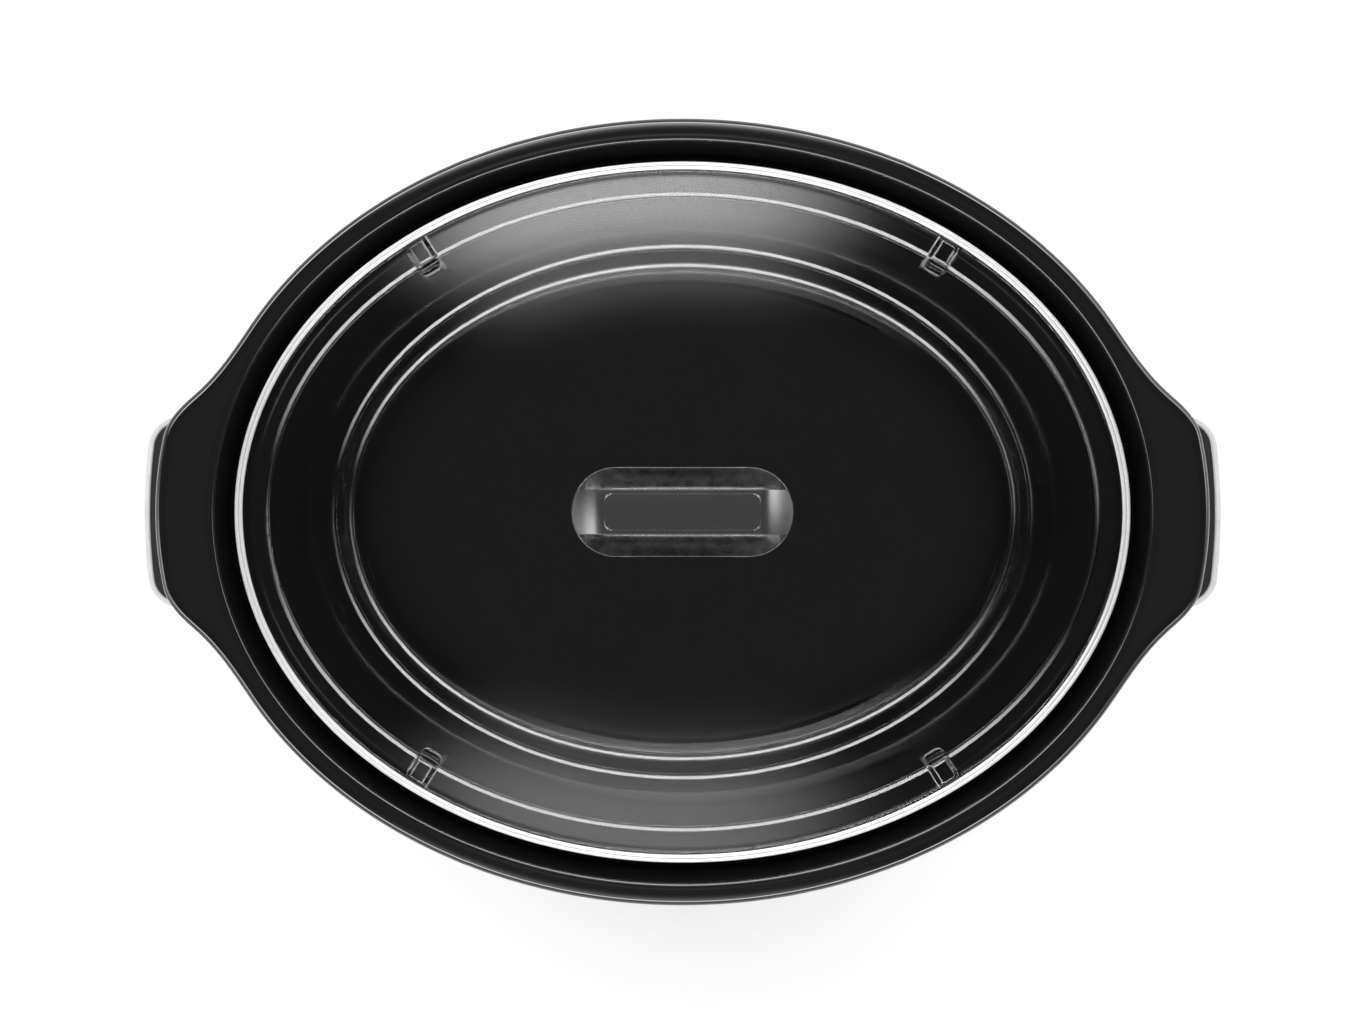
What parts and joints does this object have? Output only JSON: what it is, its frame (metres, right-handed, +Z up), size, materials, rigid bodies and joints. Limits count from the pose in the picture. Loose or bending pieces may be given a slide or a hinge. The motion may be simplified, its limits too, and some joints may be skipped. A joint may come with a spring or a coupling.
{
  "type": "slow cooker",
  "caption": "Oval countertop slow cooker with a lift-out stoneware crock, a stepped glass lid with a grip knob, side handles and a front dial.",
  "frame": {"origin": "on the ground under the middle of the oval", "axes": "+X along the oval's length, -Y out of the front where the dial is, +Z up"},
  "size_m": [0.409, 0.2932, 0.2353],
  "materials": {
    "black_glaze": "high-gloss black glaze",
    "lid_glass": "clear polished tempered glass",
    "rim_steel": "bright rolled stainless band",
    "black_phenolic": "satin moulded phenolic with a fine grain",
    "black_plastic": "satin moulded plastic",
    "housing_steel": "horizontally brushed stainless",
    "liner_steel": "aluminised sheet",
    "trim_silver": "satin bright",
    "zinc_plate": "dull grey coating",
    "fastener_steel": "zinc plated",
    "foot_rubber": "matt",
    "gland_rubber": "matt",
    "gasket_silicone": "matt",
    "lead_silicone": "matt",
    "heater_fibre": "woven glass-fibre tape",
    "blanket_fibre": "needled glass-fibre",
    "white_ceramic": "unglazed",
    "brass_parts": "turned",
    "pale_inlay": "smooth"
  },
  "bodies": {
    "base": {"rubber_feet": "foot_rubber", "bottom_plate": "zinc_plate", "bottom_plate_screws": "fastener_steel", "base_ring": "black_plastic", "outer_housing": "housing_steel", "heater_liner": "liner_steel", "band_heater": "heater_fibre", "heater_straps": "fastener_steel", "insulation_blanket": "blanket_fibre", "centre_bolt": "fastener_steel", "centre_spacer": "fastener_steel", "centre_nut": "fastener_steel", "thermal_fuse": "white_ceramic", "terminal_block": "white_ceramic", "earth_screw": "brass_parts", "wiring_leads": "lead_silicone", "left_handle": "black_phenolic", "right_handle": "black_phenolic", "left_handle_trim": "trim_silver", "right_handle_trim": "trim_silver", "handle_screws": "fastener_steel", "control_panel": "black_plastic", "switch_body": "black_plastic", "switch_nut": "fastener_steel", "cord_gland": "gland_rubber"},
    "control": {"switch_shaft": "fastener_steel", "control_knob": "black_phenolic", "knob_pointer": "pale_inlay"},
    "crock": {"crock": "black_glaze"},
    "lid": {"glass_lid": "lid_glass", "lid_rim_band": "rim_steel", "lid_knob": "black_phenolic", "knob_insert": "brass_parts", "knob_gasket": "gasket_silicone", "lid_washer": "fastener_steel", "lid_screw": "fastener_steel"}
  },
  "joints": [
    {"name": "control_turn", "type": "hinge", "parent": "base", "child": "control", "pos_m": [0, -0.132, 0.048], "axis": [0, 1, 0], "range_deg": [0, 180]},
    {"name": "crock_lift", "type": "slide", "parent": "base", "child": "crock", "axis": [0, 0, 1], "range_m": [0, 0.15]},
    {"name": "lid_lift", "type": "slide", "parent": "crock", "child": "lid", "axis": [0, 0, 1], "range_m": [0, 0.1]}
  ]
}
